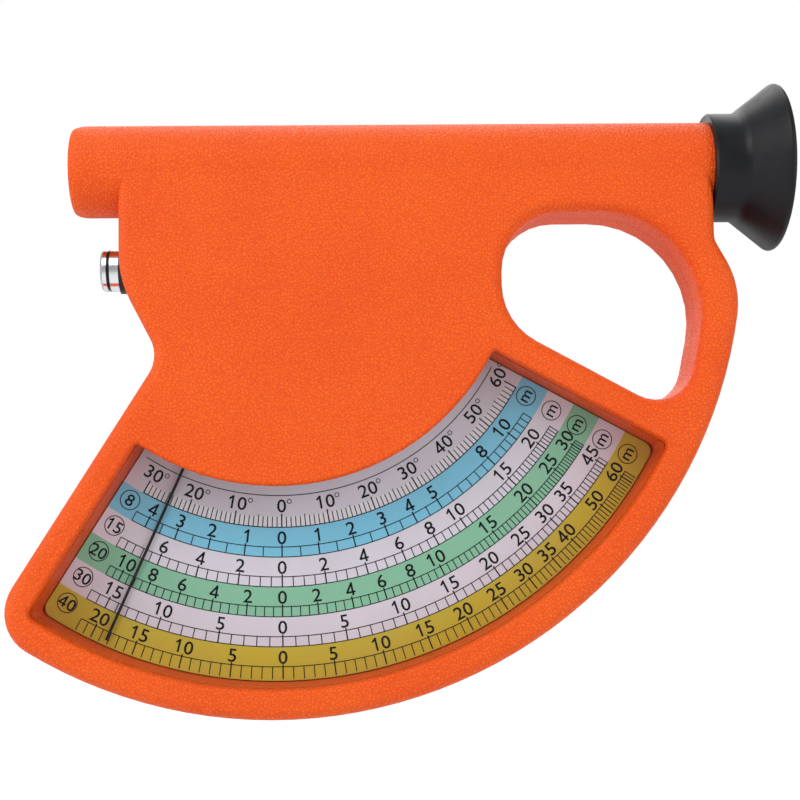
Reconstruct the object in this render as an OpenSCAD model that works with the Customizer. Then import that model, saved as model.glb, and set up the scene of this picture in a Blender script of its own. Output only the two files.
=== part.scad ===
// Pendulum hypsometer, held upright as it is used: +X points to the eyecup, -Y to the dial side, +Z up.
// The origin is the point where the pendulum's axis meets the flat rear face. All lengths are millimetres.

/* [Body] */
// Thickness of the body from the rear face to the front face
body_t = 21; // [20:0.5:24]
// Thickness of the front and rear walls
face_t = 3; // [2.5:0.1:3.4]
// Thickness of the walls round the chamber and the finger hole
wall_t = 2.5; // [2:0.1:3]
// Radius of the rounded edges of the body and the finger hole
edge_r = 3; // [1.5:0.5:4]
// Distance from the pendulum's axis to the nose, the edge that carries the button
nose_x = 36.3; // [35:0.1:38]
// Height of the corner under the nose, where its edge starts to slope
nose_z = -7.4; // [-9:0.1:-6]
// Radius of the corner under the nose
nose_r = 25; // [15:1:26]
// Height of the notch between the nose and the fan
notch_z = -25.5; // [-27:0.1:-24]
// Radius of the notch
notch_r = 8; // [4:0.5:9]
// Radius of the fan's outer arc
fan_r = 108.2; // [107:0.1:112]
// Lean of the fan's free side from the vertical, in degrees
fan_lean = 32.6; // [31:0.1:34]
// Distance of the fan's free side from the pendulum's axis
fan_side = 9; // [8:0.1:10]
// Radius of the fan's free corner
fan_corner_r = 10.4; // [8:0.2:12]

/* [Handle] */
// Distance from the pendulum's axis to the body's edge below the eyecup
tail_x = 101.9; // [101:0.1:103]
// Height at which that edge turns outwards into the handle
tail_z = 0.4; // [-1:0.1:2]
// Lean of the handle's shoulder from the vertical, in degrees
shoulder_lean = 28.8; // [26:0.2:32]
// Radius of the handle's shoulder
shoulder_r = 20; // [16:1:24]
// Width of the handle between the finger hole and the fan's outer arc
handle_w = 8; // [7:0.1:9]
// Thickness of the web between the finger hole and the sight tube
tube_web = 1.1; // [0.8:0.1:2]
// Width of the bar between the finger hole and the window
bar_w = 6.8; // [6:0.1:8]
// Distance from the pendulum's axis to the finger hole
hole_x = 52; // [51:0.1:54]

/* [Sight tube] */
// Outer diameter of the moulded tube
tube_d = 21.5; // [21.5:0.1:23]
// Height of the tube's axis above the pendulum's axis
tube_z = 19.15; // [19:0.05:21]
// Distance from the pendulum's axis to the front end of the tube
tube_front_x = 47.6; // [46:0.2:52]
// Distance from the pendulum's axis to the eye end of the tube
tube_eye_x = 108.5; // [107.5:0.1:109.5]
// Outer diameter of the black liner
liner_d = 17.5; // [17:0.1:17.8]
// Wall thickness of the liner
liner_wall = 0.8; // [0.6:0.1:1]
// Thickness of the tube's wall over the chamber
tube_floor = 1.4; // [1.2:0.1:1.6]
// Diameter of the opening at the front end
objective_d = 14; // [12:0.5:15]
// Diameter of the cross wires
wire_d = 0.3; // [0.2:0.05:0.5]
// Diameter of the peep hole
peep_d = 4; // [2:0.5:6]

/* [Eyecup] */
// Outer diameter of the eyecup's neck
neck_d = 25.7; // [25:0.1:27]
// Length of the neck
neck_l = 7; // [6.4:0.1:8]
// Diameter over the eyecup's rim
rim_d = 39.6; // [36:0.2:42]
// Distance from the neck's open end to the rim
cup_l = 16.7; // [15:0.1:19]
// Wall thickness of the cup
cup_wall = 1.8; // [1.4:0.1:2.2]

/* [Dial] */
// Width of the rim between the window and the fan's outer arc
fan_rim = 7; // [6.5:0.1:8]
// Thickness of the dial plate
dial_t = 1.5; // [1:0.1:1.8]
// Radius of the dial plate's outer corners
dial_corner_r = 2.5; // [1.5:0.5:3]
// Radius of the window's upper edge
window_in_r = 55.5; // [54.5:0.1:56]
// Width of the rim between the window and the fan's free side
side_rim = 6.3; // [5.8:0.1:7]
// Lean of the window's edge beside the finger hole from the horizontal, in degrees
window_lean = 28.9; // [28:0.1:30]
// Distance of that edge from the pendulum's axis
window_side = 2.1; // [1:0.1:2.5]
// Radius of the window's rounded edge
window_edge_r = 1; // [0.4:0.2:1.4]
// Thickness of the clear pane
pane_t = 1.5; // [1:0.1:2]
// Overlap of the pane behind the front wall
pane_lap = 1; // [0.8:0.1:1.1]

/* [Pendulum] */
// Downward reading at which the brake holds the pendulum, in degrees
lock_reading = 24.4; // [0:0.1:30]
// Largest downward reading in degrees
low_reading = 30; // [26:1:32]
// Largest upward reading in degrees
high_reading = 60; // [56:1:62]
// Diameter of the pendulum's shaft
shaft_d = 3; // [2.5:0.1:3.2]
// Diameter of the hub
hub_d = 8; // [7:0.5:9]
// Radius of the brake drum
drum_r = 8; // [7.5:0.1:8.2]
// Width of the brake drum and of the brake lever
drum_t = 3; // [2:0.5:3]
// Width of the pendulum's arm
arm_w = 6; // [5:0.2:7]
// Thickness of the pendulum's arm
arm_t = 1.2; // [0.8:0.1:1.4]
// Inner radius of the weight
weight_in_r = 30; // [29.5:0.5:31]
// Outer radius of the weight
weight_out_r = 44; // [42:0.5:44]
// Half of the weight's angle in degrees
weight_half_a = 9; // [8:0.5:9]
// Thickness of the weight
weight_t = 6; // [4:0.5:7]
// Width of the hairline
hair_w = 0.65; // [0.4:0.05:0.8]
// Thickness of the hairline
hair_t = 0.4; // [0.3:0.05:0.5]
// Gap between the dial and the hairline
hair_gap = 1.4; // [1.3:0.1:1.5]

/* [Release button and brake] */
// Diameter of the button
button_d = 9.8; // [9.4:0.1:10]
// Length of the button outside the nose
button_out = 4.8; // [4.4:0.1:6]
// Height of the button's axis
button_z = -4.3; // [-5:0.1:-4]
// Distance that the button travels
travel = 2.5; // [2:0.1:2.6]
// Wall thickness of the button's bush
bush_wall = 0.55; // [0.5:0.05:0.8]
// Diameter of the plunger
plunger_d = 5; // [4:0.5:5]
// Place of the brake lever's pin, across from the pendulum's axis
pin_x = -21; // [-21.5:0.1:-20.5]
// Height of the brake lever's pin
pin_z = -14; // [-14.5:0.1:-13.5]
// Diameter of the brake lever's pin
pin_d = 2.5; // [2:0.1:2.6]
// Width of the brake lever's arms
lever_w = 3.2; // [3:0.1:3.6]
// Direction of the brake pad from the pendulum's axis, in degrees
pad_a = -130; // [-132:1:-128]
// Thickness of the brake pad
pad_t = 2; // [1.5:0.1:2.2]

/* [Fits and fasteners] */
// Radial clearance of a shaft that turns or slides
run_gap = 0.03; // [0.02:0.01:0.08]
// Clearance round a piece that is set in a seat
seat_gap = 0.05; // [0.03:0.01:0.1]
// Gap between pieces that touch when the object is at work
rest_gap = 0.3; // [0.25:0.05:0.4]
// Diameter of the body screws
screw_d = 2.2; // [2:0.1:2.4]
// Diameter of the body screws' heads
screw_head_d = 4.2; // [3.8:0.1:4.4]
// Length of the body screws
screw_l = 13; // [11:0.5:14]
// Diameter of the bosses that hold the body screws
boss_d = 6; // [5.5:0.1:6.4]

/* [Hidden] */

$fn = 96;
edge_steps = 4;
eps = 0.01;
far = 2 * fan_r;
flank_z = 5;

orange = [0.96, 0.33, 0.1];
black = [0.07, 0.07, 0.08];
steel = [0.72, 0.73, 0.75];
brass = [0.8, 0.64, 0.3];

// Bushes in which the pendulum's shaft turns, each in a boss of its half of the body
bearing_l = 2.6;
bearing_wall = 1.5;
bearing_d = shaft_d + 2 * (run_gap + bearing_wall);
bearing_stand = 0.6;
boss_wall = 2;
shaft_end = 0.4;

// Heads and recesses of the screws
screw_head_t = 1.6;
screw_sink = 0.6;
dial_screw_d = 1.6;
dial_screw_head_d = 3;
dial_screw_head_t = 0.6;
dial_screw_l = 1.8;

// Grooves for spring clips
groove_t = 0.7;
clip_t = groove_t - 2 * seat_gap;
clip_play = rest_gap - seat_gap;

// Depths, measured along -Y from the rear face
y_part = -body_t / 2;
y_front = -body_t;
y_floor = -face_t;
y_face = face_t - body_t;
y_pane = y_face + pane_t;
y_dial = y_floor - dial_t;
y_arm = y_dial - hair_gap;
y_weight = y_arm - arm_t;
y_drum = y_part + drum_t / 2;
y_clip = y_drum - drum_t - clip_play;
y_rear_seat = y_floor - bearing_l;
y_front_seat = y_face + bearing_l + bearing_stand;
y_head = -screw_sink - screw_head_t;

// The window, the well round the dial, and the chamber above it
window_out_r = fan_r - fan_rim;
window_corner_r = 1.6;
window_inner_r = 0.8;
well_in_r = window_in_r - 5.5;
dial_in_r = well_in_r + 0.5;
pane_in_r = window_in_r - 2.5;
pane_gap = 0.15;
chamber_r = window_in_r - 1.5;
chamber_top = tube_z - liner_d / 2 - seat_gap - tube_floor;
hair_end_r = window_out_r - 1.7;
left_n = [-cos(fan_lean), sin(fan_lean)];
right_n = [sin(window_lean), cos(window_lean)];

// Points from which the whole outline of the body, the finger hole and the window is seen
body_c = [fan_r / 5, -fan_r / 4];
hole_c = [(hole_x + fan_r) / 2, -fan_r / 8];
window_mid_a = ((90 - window_lean) - fan_lean) / 2;
window_c = (window_out_r - 4) * [sin(window_mid_a), -cos(window_mid_a)];

// The corners of the body's outline
nose_corner = [-nose_x, nose_z];
notch_corner = [(sin(fan_lean) * notch_z - fan_side) / cos(fan_lean), notch_z];
tail_corner = [tail_x, tail_z];
tail_r = 4;
shoulder_dir = [sin(shoulder_lean), -cos(shoulder_lean)];
shoulder_n = [cos(shoulder_lean), sin(shoulder_lean)];

// Radii of the finger hole's corners and the lean of its grip
hole_upper_r = [14, 23.8];
hole_lower_r = [15, 9];
grip_lean = 12;

// Places of the body screws: three round the chamber, one above the handle and three along the rim
boss_gap = 1;
chamber_screws = [[-22, 3.9], [25, 3.5], [hole_x - wall_t - boss_d / 2 - boss_gap, 2.8]];
handle_screw_in = [5.1, 3.2];
handle_screw = [tail_x - handle_screw_in[0], tail_z + handle_screw_in[1]];
rim_screw_r = window_out_r + pane_lap + screw_head_d / 2;
rim_screw_angles = [-28, 12, 50];
rim_screws = [for (a = rim_screw_angles) at_radius(rim_screw_r, a)];
screw_places = concat(chamber_screws, [handle_screw], rim_screws);
dial_screw_r = well_in_r + 2.6;
dial_screw_places = [for (a = [-18, 42]) at_radius(dial_screw_r, a)];

// The liner and the pieces in its ends
liner_set = 2;
liner_x = -tube_front_x + liner_set;
liner_end_x = tube_eye_x - 5.5;
reticle_d = liner_d - 2 * liner_wall - 2 * seat_gap;
reticle_l = 4;
reticle_wall = 1.6;
peep_t = 1.5;
retainer_l = 3;
retainer_wall = 2;

// The button, its bush, the plunger and the rib that guides it
button_in_x = -nose_x + 3.3;
bush_in_x = button_in_x + 5;
bush_out = 0.5;
bush_d = button_d + 2 * (run_gap + bush_wall);
stud_l = 3;
guide_x = bush_in_x + 1.1;
guide_t = 2;
guide_h = 10;
groove_x = guide_x + guide_t + clip_play;
spring_end = 0.1;

// The brake lever, its pin and pad, and the post behind its spring
pin_boss = 2.5;
pin_floor = 0.5;
pin_end = 0.65;
pin_neck_d = pin_d - 0.8;
tip_d = 2;
tip_l = 1;
plunger_tip_x = pin_x - lever_w / 2 - rest_gap;
lever_top_z = button_z + 2.8;
lever_boss = 1.7;
lever_in = 0.3;
arm_in = 0.4;
foot_t = 1.8;
pad_w = 5;
brake_spring_z = button_z + 0.8;
post_x = -12.6;
post_t = 1.6;
post_h = 5;

// Rivets that hold the weight, and the posts that stop the pendulum
rivet_d = 2;
rivet_head = [3.6, 0.7];
rivet_in = 3;
rivet_places = [[0, -weight_in_r - rivet_in], [0, rivet_in - weight_out_r]];
stop_r = 26;
stop_sleeve_d = 4;
stop_post_d = 2.4;
stop_over = 1;
stop_cap = 0.4;
stop_a = asin((arm_w / 2 + stop_sleeve_d / 2 + rest_gap) / stop_r);
stop_places = [for (a = [-low_reading - stop_a, high_reading + stop_a]) at_radius(stop_r, a)];
y_stop = y_weight - stop_over;

// The point in X and Z at a radius from the pendulum's axis, at an angle from straight down
function at_radius(r, a) = r * [sin(a), -cos(a)];

// Points of an arc with the outward normal at each: [point, normal]
function arc_pts(c, r, a0, a1, n, s = 1) =
  [for (i = [0:n]) let(a = a0 + (a1 - a0) * i / n, u = [cos(a), sin(a)]) [c + r * u, s * u]];

// A rounded corner at v, between a side that runs along d1 and one that runs along d2
function corner_pts(d1, v, d2, r, n) =
  let(s = sign(cross(d1, d2)), turn = acos(d1 * d2), c = v + r / cos(turn / 2) * (d2 - d1) / norm(d2 - d1),
    a0 = atan2(-s * d1[0], s * d1[1]))
  arc_pts(c, r, a0, a0 + s * turn, n, s);

// Centre of a corner of radius r inside the line n*p = d, whose distance from the pendulum's axis is dist
function rim_centre(n, d, along, r, dist) = (d - r) * n + along * sqrt(dist * dist - (d - r) * (d - r));

// Direction of the point p from the pendulum's axis
function angle_of(p) = atan2(p[1], p[0]);

// The angle a, with whole turns added until it is nearest to b
function near_angle(a, b) = a + 360 * round((b - a) / 360);

function unit(v) = v / norm(v);

// True where the arc's point p is more than a degree away from the direction a
function clear_of(p, a) = abs(near_angle(angle_of(p[0]), a) - a) > 1;

// The points of an arc about the pendulum's axis without those next to its ends
function open_arc(r, a0, a1, n, s = 1) =
  [for (p = arc_pts([0, 0], r, a0, a1, n, s)) if (clear_of(p, a0) && clear_of(p, a1)) p];

// Outline of the body below its upright flanks, anticlockwise from the dial side
function body_path() =
  let(slope = unit(notch_corner - nose_corner), side = [-left_n[1], left_n[0]],
    c1 = rim_centre(left_n, fan_side, side, fan_corner_r, fan_r - fan_corner_r),
    shoulder_d = tail_corner * shoulder_n,
    c2 = rim_centre(shoulder_n, shoulder_d, shoulder_dir, shoulder_r, fan_r - shoulder_r),
    a_side = angle_of(left_n), a1 = near_angle(angle_of(c1), a_side + 90),
    a2 = near_angle(angle_of(c2), a1 + 90), a_shoulder = near_angle(angle_of(shoulder_n), a2))
  concat([[[-nose_x, flank_z], [-1, 0]]],
    corner_pts([0, -1], nose_corner, slope, nose_r, 5),
    corner_pts(slope, notch_corner, side, notch_r, 8),
    arc_pts(c1, fan_corner_r, a_side, a1, 10),
    open_arc(fan_r, a1, a2, 44),
    arc_pts(c2, shoulder_r, a2, a_shoulder, 6),
    corner_pts(-shoulder_dir, tail_corner, [0, 1], tail_r, 4),
    [[[tail_x, flank_z], [1, 0]]]);

// Outline of the window grown outwards by g, with its upper edge at radius r_in
function window_path(r_in, r_out, g, corner_r) =
  let(dl = fan_side - side_rim + g, dr = window_side + g, side = [-left_n[1], left_n[0]],
    bar = [right_n[1], -right_n[0]], inner_r = window_inner_r,
    c1 = rim_centre(left_n, dl, side, inner_r, r_in + inner_r),
    c2 = rim_centre(left_n, dl, side, corner_r, r_out - corner_r),
    c3 = rim_centre(right_n, dr, bar, corner_r, r_out - corner_r),
    c4 = rim_centre(right_n, dr, bar, inner_r, r_in + inner_r),
    al = angle_of(left_n), a1 = near_angle(angle_of(c1), al + 90), a2 = near_angle(angle_of(c2), al + 90),
    a3 = near_angle(angle_of(c3), a2 + 90), a4 = near_angle(angle_of(c4), a3),
    ar = near_angle(angle_of(right_n), a3 + 90))
  concat(arc_pts(c1, inner_r, a1 - 180, al, 3),
    arc_pts(c2, corner_r, al, a2, 6),
    open_arc(r_out, a2, a3, 36),
    arc_pts(c3, corner_r, a3, ar, 6),
    arc_pts(c4, inner_r, ar, a4 + 180, 3),
    open_arc(r_in, a4, a1, 24, -1));

// Outline of the finger hole
function hole_path() =
  let(top = tube_z - tube_d / 2 - tube_web, slant = [right_n[1], -right_n[0]], slant_d = window_side + bar_w,
    up = [sin(grip_lean), cos(grip_lean)], grip_n = [cos(grip_lean), -sin(grip_lean)],
    grip_d = fan_r - handle_w,
    v_ul = [hole_x, top], v_ll = [hole_x, (slant_d - right_n[0] * hole_x) / right_n[1]],
    v_lr = meet(right_n, slant_d, grip_n, grip_d), v_ur = meet([0, 1], top, grip_n, grip_d))
  concat(corner_pts([-1, 0], v_ul, [0, -1], hole_upper_r[0], 8),
    corner_pts([0, -1], v_ll, slant, hole_lower_r[0], 6),
    corner_pts(slant, v_lr, up, hole_lower_r[1], 8),
    corner_pts(up, v_ur, [-1, 0], hole_upper_r[1], 10));

// The point where the lines n1*p = d1 and n2*p = d2 meet
function meet(n1, d1, n2, d2) =
  let(k = cross(n1, n2)) [(d1 * n2[1] - d2 * n1[1]) / k, (n1[0] * d2 - n2[0] * d1) / k];

// Depth and inset of points along a rounded edge, from the face inwards
function edge_pts(r) =
  [for (i = [0:edge_steps]) let(a = 90 - 90 * i / edge_steps) r * [1 - sin(a), 1 - cos(a)]];

// An outline as points in space at the depth y, set in by a distance
function ring(path, inset, y) = [for (p = path) let(q = p[0] - inset * p[1]) [q[0], y, q[1]]];

// An outline as points in X and Z, set in by a distance
function outline(path, inset = 0) = [for (p = path) p[0] - inset * p[1]];

// A closed solid through rings of points, the first ring at the lowest y. c is a point in X and Z
// from which each ring is seen whole
module loft(rings, c) {
  n = len(rings[0]);
  last = len(rings) - 1;
  ends = [[c[0], rings[0][0][1], c[1]], [c[0], rings[last][0][1], c[1]]];
  first_c = n * (last + 1);
  first_cap = [for (i = [0:n - 1]) [first_c, (i + 1) % n, i]];
  last_cap = [for (i = [0:n - 1]) [first_c + 1, last * n + i, last * n + (i + 1) % n]];
  sides = [for (k = [0:last - 1]) for (i = [0:n - 1]) let(a = k * n + i, b = k * n + (i + 1) % n)
    each [[a, b, b + n], [a, b + n, a + n]]];
  polyhedron(points = concat([for (r = rings) each r], ends), faces = concat(first_cap, last_cap, sides));
}

// A flat shape drawn in X and Z, filled from y0 to y1
module slab(y0, y1) {
  translate([0, y1, 0]) rotate([90, 0, 0]) linear_extrude(y1 - y0) children();
}

// A cylinder along Y at [x, z], from y0 to y1
module rod_y(p, d, y0, y1) {
  translate([p[0], y1, p[1]]) rotate([90, 0, 0]) cylinder(d = d, h = y1 - y0);
}

// A cylinder along X on an axis at [y, z], from x0 to x1
module rod_x(p, d, x0, x1) {
  translate([x0, p[0], p[1]]) rotate([0, 90, 0]) cylinder(d = d, h = x1 - x0);
}

// A shape drawn in X and radius, turned about the sight tube's axis
module about_tube() {
  translate([0, y_part, tube_z]) rotate([0, 90, 0]) rotate_extrude() rotate(90) mirror([0, 1]) children();
}

// Half of space on the front (-1) or rear (1) side of the parting plane
module half_space(side) {
  translate([-far, side < 0 ? y_part - 2 * far : y_part, -far]) cube(2 * far);
}

// The outside of one half of the body: the fan and the handle, and above them the upright flanks
module half_outside(side) {
  path = body_path();
  edge = edge_pts(edge_r);
  face_rings = [for (e = edge) ring(path, e[1], side < 0 ? y_front + e[0] : -e[0])];
  part_ring = [ring(path, 0, y_part)];
  rev = [for (i = [edge_steps:-1:0]) face_rings[i]];
  loft(side < 0 ? concat(face_rings, part_ring) : concat(part_ring, rev), body_c);
  y_face_side = side < 0 ? y_front : 0;
  translate([0, 0, flank_z]) linear_extrude(tube_z - flank_z)
    polygon(concat([for (e = edge) [-nose_x + e[1], y_face_side - side * e[0]]],
      [[-nose_x, y_part], [tail_x, y_part]],
      [for (i = [edge_steps:-1:0]) [tail_x - edge[i][1], y_face_side - side * edge[i][0]]]));
}

// The outside of the sight tube, with its rounded front end
module tube_outside() {
  round_l = 3.5;
  round_r = 1.2;
  about_tube() polygon(concat([[-tube_front_x, 0]],
    [for (i = [0:6]) let(a = 15 * i)
      [-tube_front_x + round_l * (1 - cos(a)), tube_d / 2 - round_r * (1 - sin(a))]],
    [[tube_eye_x, tube_d / 2], [tube_eye_x, 0]]));
}

// One half of the body with its half of the sight tube, solid
module outside(side) {
  half_outside(side);
  intersection() {
    tube_outside();
    half_space(side);
  }
}

// The finger hole with its rounded edges
module hole_cut() {
  path = hole_path();
  edge = edge_pts(edge_r);
  front = [for (e = edge) ring(path, -e[1], y_front + e[0])];
  rear = [for (i = [edge_steps:-1:0]) ring(path, -edge[i][1], -edge[i][0])];
  loft(concat([ring(path, -edge_r, y_front - 1)], front, rear, [ring(path, -edge_r, 1)]), hole_c);
}

// The window through the front wall, with its rounded edge
module window_cut() {
  path = window_path(window_in_r, window_out_r, 0, window_corner_r);
  edge = edge_pts(window_edge_r);
  rings = [for (e = edge) ring(path, -e[1], y_front + e[0])];
  loft(concat([ring(path, -window_edge_r, y_front - 1)], rings, [ring(path, 0, y_face + 1)]), window_c);
}

// The body's outline set in by a distance, as a flat shape
module inner_shape(inset) {
  polygon(concat([[-nose_x + inset, tube_z]], outline(body_path(), inset), [[tail_x - inset, tube_z]]));
}

// The space in which the pendulum and the brake move, as a flat shape
module chamber_shape() {
  difference() {
    intersection() {
      inner_shape(wall_t);
      circle(r = chamber_r);
      translate([-far, chamber_top - 2 * far]) square(2 * far);
    }
    polygon(outline(hole_path(), -wall_t));
  }
}

// The walled band under the window, open to the chamber above it
module well_shape(grow) {
  polygon(outline(window_path(well_in_r, window_out_r + grow, grow, window_corner_r)));
}

// The hollow of one half of the body, from y0 to y1
module hollow(y0, y1, grow) {
  slab(y0, y1) union() {
    chamber_shape();
    well_shape(grow);
  }
}

// Everything that both halves of the body have cut out of them
module shared_cuts() {
  hole_cut();
  rod_x([y_part, tube_z], liner_d + 2 * seat_gap, liner_x, tube_eye_x + 1);
  rod_x([y_part, tube_z], objective_d, -tube_front_x - 1, liner_x + 1);
  rod_x([y_part, button_z], bush_d + 2 * seat_gap, -nose_x - 5, bush_in_x + seat_gap);
}

// The rib that guides the plunger and the block round the button's bush, on one half
module button_seats(side) {
  y0 = side < 0 ? y_face - eps : y_part;
  y1 = side < 0 ? y_part : y_floor + eps;
  block_h = bush_d + wall_t;
  difference() {
    union() {
      intersection() {
        translate([-nose_x, y0, button_z - block_h / 2]) cube([bush_in_x + nose_x, y1 - y0, block_h]);
        slab(y0 - 1, y1 + 1) inner_shape(wall_t / 2);
      }
      translate([guide_x, y0, button_z - guide_h / 2]) cube([guide_t, y1 - y0, guide_h]);
    }
    rod_x([y_part, button_z], bush_d + 2 * seat_gap, -nose_x - 5, bush_in_x + seat_gap);
    rod_x([y_part, button_z], plunger_d + 2 * run_gap, bush_in_x - 1, guide_x + guide_t + 1);
  }
}

module front_shell() {
  color(orange) difference() {
    union() {
      difference() {
        difference() {
          outside(-1);
          window_cut();
        }
        hollow(y_face, y_part + 1, pane_lap + pane_gap);
      }
      button_seats(-1);
      for (p = chamber_screws) rod_y(p, boss_d, y_face - eps, y_part);
      rod_y([0, 0], bearing_d + 2 * boss_wall, y_face - eps, y_front_seat);
    }
    shared_cuts();
    for (p = screw_places) rod_y(p, screw_d + 2 * seat_gap, y_head - screw_l - 1, y_part + 1);
    rod_y([0, 0], bearing_d + 2 * seat_gap, y_front_seat - bearing_l, y_front_seat + 1);
    rod_y([0, 0], shaft_d + 1, y_front_seat - bearing_l - 0.5, y_front_seat);
  }
}

module rear_shell() {
  color(orange) difference() {
    union() {
      difference() {
        outside(1);
        hollow(y_part - 1, y_floor, 0);
      }
      pane_wall();
      button_seats(1);
      for (p = chamber_screws) rod_y(p, boss_d, y_part, y_floor + eps);
      rod_y([0, 0], bearing_d + 2 * boss_wall, y_rear_seat, y_floor + eps);
      rod_y([pin_x, pin_z], pin_d + pin_boss, y_drum + rest_gap, y_floor + eps);
      for (p = stop_places) rod_y(p, stop_post_d, y_stop, y_floor + eps);
      translate([post_x - post_t / 2, y_part - post_t, brake_spring_z - post_h / 2])
        cube([post_t, y_floor - y_part + post_t + eps, post_h]);
    }
    shared_cuts();
    for (p = screw_places) {
      rod_y(p, screw_d + 4 * seat_gap, y_part - 1, 1);
      rod_y(p, screw_head_d + 4 * seat_gap, y_head, 1);
    }
    rod_y([0, 0], bearing_d + 2 * seat_gap, y_rear_seat - 1, y_floor);
    rod_y([pin_x, pin_z], pin_d, y_drum, y_floor - pin_floor);
    for (p = dial_screw_places) rod_y(p, dial_screw_d, y_floor - 1, y_floor + dial_screw_l + 0.2);
  }
}

// The upstanding wall of the rear half that reaches into the front half and holds the pane
module pane_wall() {
  difference() {
    slab(y_pane, y_part + eps) well_shape(pane_lap);
    slab(y_pane - 1, y_part + 1) well_shape(0);
    rod_y([0, 0], 2 * chamber_r, y_pane - 1, y_part + 1);
  }
}

module window_pane() {
  path = window_path(pane_in_r, window_out_r + pane_lap, pane_lap, window_corner_r);
  color([0.85, 0.92, 0.95, 0.35]) slab(y_face, y_pane) polygon(outline(path));
}

module dial_plate() {
  path = window_path(dial_in_r, window_out_r - rest_gap, -rest_gap, dial_corner_r);
  color([0.88, 0.86, 0.9]) difference() {
    slab(y_dial, y_floor) polygon(outline(path));
    for (p = dial_screw_places) rod_y(p, dial_screw_d + 2 * seat_gap, y_dial - 1, y_floor + 1);
  }
}

module dial_screws() {
  color(steel) for (p = dial_screw_places) {
    rod_y(p, dial_screw_head_d, y_dial - dial_screw_head_t, y_dial);
    rod_y(p, dial_screw_d - 2 * seat_gap, y_dial, y_floor + dial_screw_l);
  }
}

module sight_tube() {
  color(black) difference() {
    rod_x([y_part, tube_z], liner_d, liner_x, liner_end_x);
    rod_x([y_part, tube_z], liner_d - 2 * liner_wall, liner_x - 1, liner_end_x + 1);
  }
}

module reticle_ring() {
  color(brass) difference() {
    rod_x([y_part, tube_z], reticle_d, liner_x, liner_x + reticle_l);
    rod_x([y_part, tube_z], reticle_d - 2 * reticle_wall, liner_x - 1, liner_x + reticle_l + 1);
    wires(wire_d + 2 * seat_gap, reticle_d + 1);
  }
}

// The two crossed wires, with diameter d and length l
module wires(d, l) {
  translate([liner_x + reticle_l / 2, y_part, tube_z]) {
    translate([0, 0, -l / 2]) cylinder(d = d, h = l, $fn = 24);
    translate([0, -l / 2, 0]) rotate([-90, 0, 0]) cylinder(d = d, h = l, $fn = 24);
  }
}

module cross_wires() {
  color(steel) wires(wire_d, reticle_d - 0.6);
}

module peep_disc() {
  color(black) difference() {
    rod_x([y_part, tube_z], liner_d, liner_end_x, liner_end_x + peep_t);
    rod_x([y_part, tube_z], peep_d, liner_end_x - 1, liner_end_x + peep_t + 1);
  }
}

module peep_retainer() {
  x = liner_end_x + peep_t;
  color(black) difference() {
    rod_x([y_part, tube_z], liner_d, x, x + retainer_l);
    rod_x([y_part, tube_z], liner_d - 2 * retainer_wall, x - 1, x + retainer_l + 1);
  }
}

// The rubber cup over the eye end of the tube
module eyecup() {
  x0 = tail_x + 0.1;
  seat_r = tube_d / 2 + seat_gap;
  neck_r = neck_d / 2;
  rim_r = rim_d / 2;
  x_web = tube_eye_x;
  x_rim = x0 + cup_l;
  lip = cup_wall / 2;
  flare = unit([x_rim - lip - x0 - neck_l, rim_r - lip - neck_r]);
  out_n = [-flare[1], flare[0]];
  in_r = 7.5;
  lip_c = [x_rim - lip, rim_r - lip];
  color(black) about_tube() polygon(concat(
    [[x_web, seat_r], [x0, seat_r], [x0, neck_r - 0.4], [x0 + 0.4, neck_r], [x0 + neck_l - 0.6, neck_r]],
    [for (i = [0:8]) let(a = angle_of(out_n) + 180 * i / -8) lip_c + lip * [cos(a), sin(a)]],
    [[x_web + 2.4, neck_r - cup_wall - 0.6], [x_web + 1.6, neck_r - cup_wall - 2.2], [x_web + 1.6, in_r],
      [x_web, in_r]]));
}

module pendulum_shaft() {
  color(steel) rod_y([0, 0], shaft_d, y_front_seat - bearing_l, y_floor - shaft_end);
}

module pendulum_hub() {
  color(brass) difference() {
    rod_y([0, 0], hub_d, y_front_seat + rest_gap, y_rear_seat - rest_gap);
    rod_y([0, 0], shaft_d, y_front, 0);
  }
}

module brake_drum() {
  color(steel) difference() {
    rod_y([0, 0], 2 * drum_r, y_drum - drum_t, y_drum);
    rod_y([0, 0], hub_d, y_front, 0);
  }
}

// Turns a piece of the pendulum that hangs straight down to the locked reading
module at_reading() {
  rotate([0, lock_reading, 0]) children();
}

module pendulum_arm() {
  color(steel) at_reading() difference() {
    union() {
      rod_y([0, 0], hub_d + 5, y_weight, y_arm);
      translate([-arm_w / 2, y_weight, -weight_out_r - 1.5]) cube([arm_w, arm_t, weight_out_r + 1.5]);
    }
    rod_y([0, 0], hub_d, y_front, 0);
    for (p = rivet_places) rod_y(p, rivet_d, y_front, 0);
  }
}

module pendulum_weight() {
  color(brass) at_reading() difference() {
    translate([0, y_weight, 0]) rotate([90, 0, 0]) rotate(-90 - weight_half_a)
      rotate_extrude(angle = 2 * weight_half_a, $fn = 180)
        translate([weight_in_r, 0]) square([weight_out_r - weight_in_r, weight_t]);
    for (p = rivet_places) rod_y(p, rivet_d, y_front, 0);
  }
}

module weight_rivets() {
  color(steel) at_reading() for (p = rivet_places) {
    rod_y(p, rivet_d, y_weight - weight_t, y_arm);
    rod_y(p, rivet_head[0], y_weight - weight_t - rivet_head[1], y_weight - weight_t);
  }
}

module hairline() {
  color("black") at_reading()
    translate([-hair_w / 2, y_arm, -hair_end_r]) cube([hair_w, hair_t, hair_end_r - weight_in_r]);
}

module bearing(y0) {
  color(brass) difference() {
    rod_y([0, 0], bearing_d, y0, y0 + bearing_l);
    rod_y([0, 0], shaft_d + 2 * run_gap, y0 - 1, y0 + bearing_l + 1);
  }
}

module front_bearing() {
  bearing(y_front_seat - bearing_l);
}

module rear_bearing() {
  bearing(y_rear_seat);
}

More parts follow.
